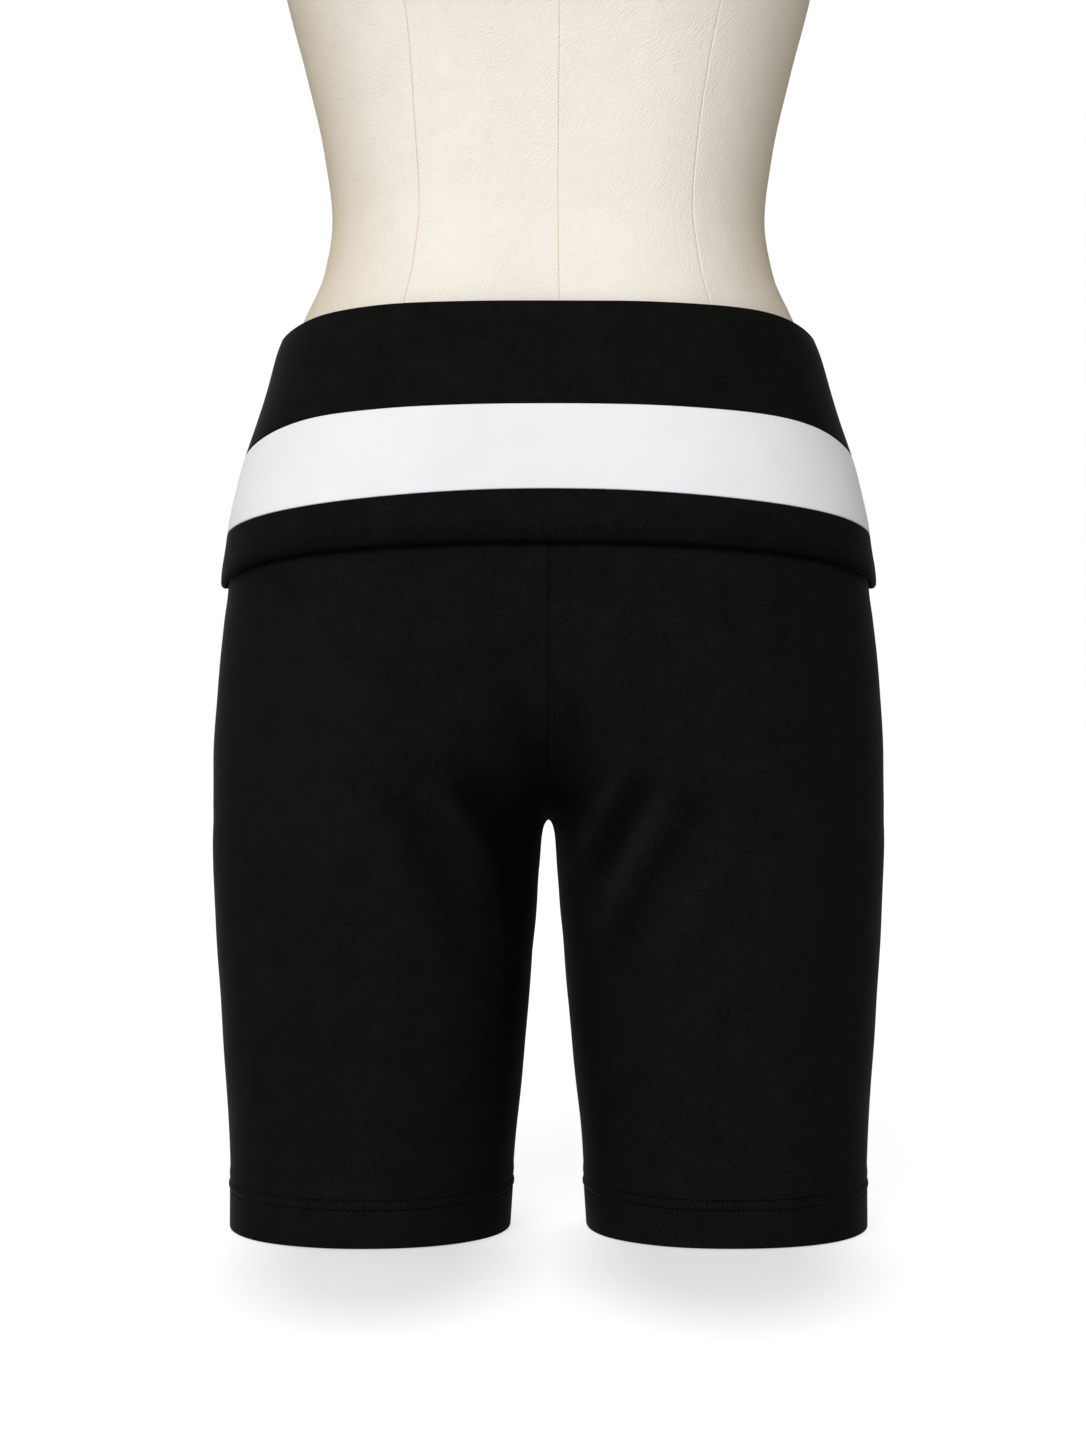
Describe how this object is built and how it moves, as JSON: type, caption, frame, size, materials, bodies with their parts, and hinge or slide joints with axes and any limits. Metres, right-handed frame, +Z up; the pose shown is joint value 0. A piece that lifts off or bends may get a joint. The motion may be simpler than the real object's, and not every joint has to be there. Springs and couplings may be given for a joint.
{
  "type": "bike shorts on a dress form",
  "caption": "Close-fitting stretch shorts with a folded-over, banded waist, worn by a limbless dress form that stands on its flat thigh bases.",
  "frame": {"origin": "on the floor, under the middle of the dress form", "axes": "+Z up, the front of the shorts faces -Y, the wearer's left is +X"},
  "size_m": [0.3612, 0.2635, 1.03],
  "materials": {
    "black_jersey": "matte dense double-knit jersey, black",
    "pale_band_jersey": "matte fine-rib jersey, off-white",
    "form_linen": "matte linen covering, pale oatmeal"
  },
  "bodies": {
    "root": {"leg_front_left": "black_jersey", "leg_front_right": "black_jersey", "leg_back_left": "black_jersey", "leg_back_right": "black_jersey", "waistband": "black_jersey", "pale_band": "pale_band_jersey", "flap_strip": "black_jersey", "form_torso": "form_linen", "form_thigh_left": "form_linen", "form_thigh_right": "form_linen"}
  },
  "joints": []
}
